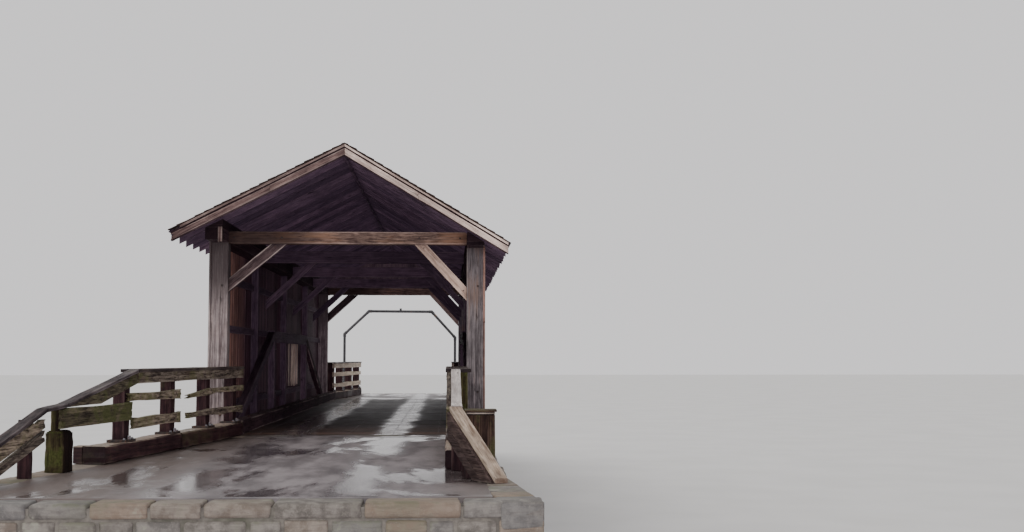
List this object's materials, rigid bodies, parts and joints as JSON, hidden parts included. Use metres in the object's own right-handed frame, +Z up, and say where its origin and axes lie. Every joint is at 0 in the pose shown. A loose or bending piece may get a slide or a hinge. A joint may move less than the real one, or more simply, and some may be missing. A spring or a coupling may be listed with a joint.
{
  "type": "covered bridge",
  "caption": "One-lane timber covered bridge on stone abutments: queen-post trusses under a gable roof, open portals with tie beams and knee braces, plank railings on both approaches.",
  "frame": {"origin": "middle of the footprint, on the lowest ground that the abutments stand on", "axes": "+X to the right on entering by the near portal, +Y along the road from the near portal to the far one, +Z up"},
  "size_m": [6.433, 37.4, 7.44],
  "materials": {
    "stonework": "rough coursed fieldstone in lime mortar, damp and weathered",
    "black_pipe": "black paint over steel pipe, dull",
    "shakes": "split wood shakes, weathered grey-brown, damp",
    "rake_timber": "bare weathered board, pale grey-brown",
    "siding_boards": "bare vertical boards, dark brown-grey",
    "portal_timber": "bare sawn timber, weathered grey with rust-brown patches",
    "deck_planks": "worn wet planks, dark",
    "mossy_timber": "bare timber with green moss and algae",
    "cap_timber": "bare weathered plank, pale blue-grey on top",
    "dark_timber": "old sawn timber, dark brown"
  },
  "bodies": {
    "root": {"near_abutment": "stonework", "far_abutment": "stonework", "bearing_timbers": "dark_timber", "floor_beams": "dark_timber", "lower_chords": "dark_timber", "stringers": "dark_timber", "deck": "deck_planks", "wheel_guards": "dark_timber", "portal_posts": "portal_timber", "queen_posts": "dark_timber", "straining_beams": "dark_timber", "truss_braces": "dark_timber", "wall_posts": "dark_timber", "girts": "dark_timber", "wall_plates": "dark_timber", "tie_beams": "portal_timber", "knee_braces": "portal_timber", "far_gable": "siding_boards", "rafters": "dark_timber", "ridge_board": "dark_timber", "left_roof": "shakes", "right_roof": "shakes", "near_rake_boards": "rake_timber", "far_rake_boards": "rake_timber", "left_siding": "siding_boards", "right_siding": "siding_boards", "window_slats": "siding_boards", "near_left_curb": "mossy_timber", "near_right_curb": "mossy_timber", "far_left_curb": "mossy_timber", "far_right_curb": "mossy_timber", "near_left_rail_posts": "mossy_timber", "near_right_rail_posts": "mossy_timber", "far_left_rail_posts": "mossy_timber", "far_right_rail_posts": "mossy_timber", "near_left_rails": "mossy_timber", "near_right_rails": "mossy_timber", "far_left_rails": "mossy_timber", "far_right_rails": "mossy_timber", "near_left_cap": "cap_timber", "near_right_cap": "cap_timber", "far_left_cap": "cap_timber", "far_right_cap": "cap_timber", "end_boxes": "mossy_timber", "clearance_frame": "black_pipe"}
  },
  "joints": []
}
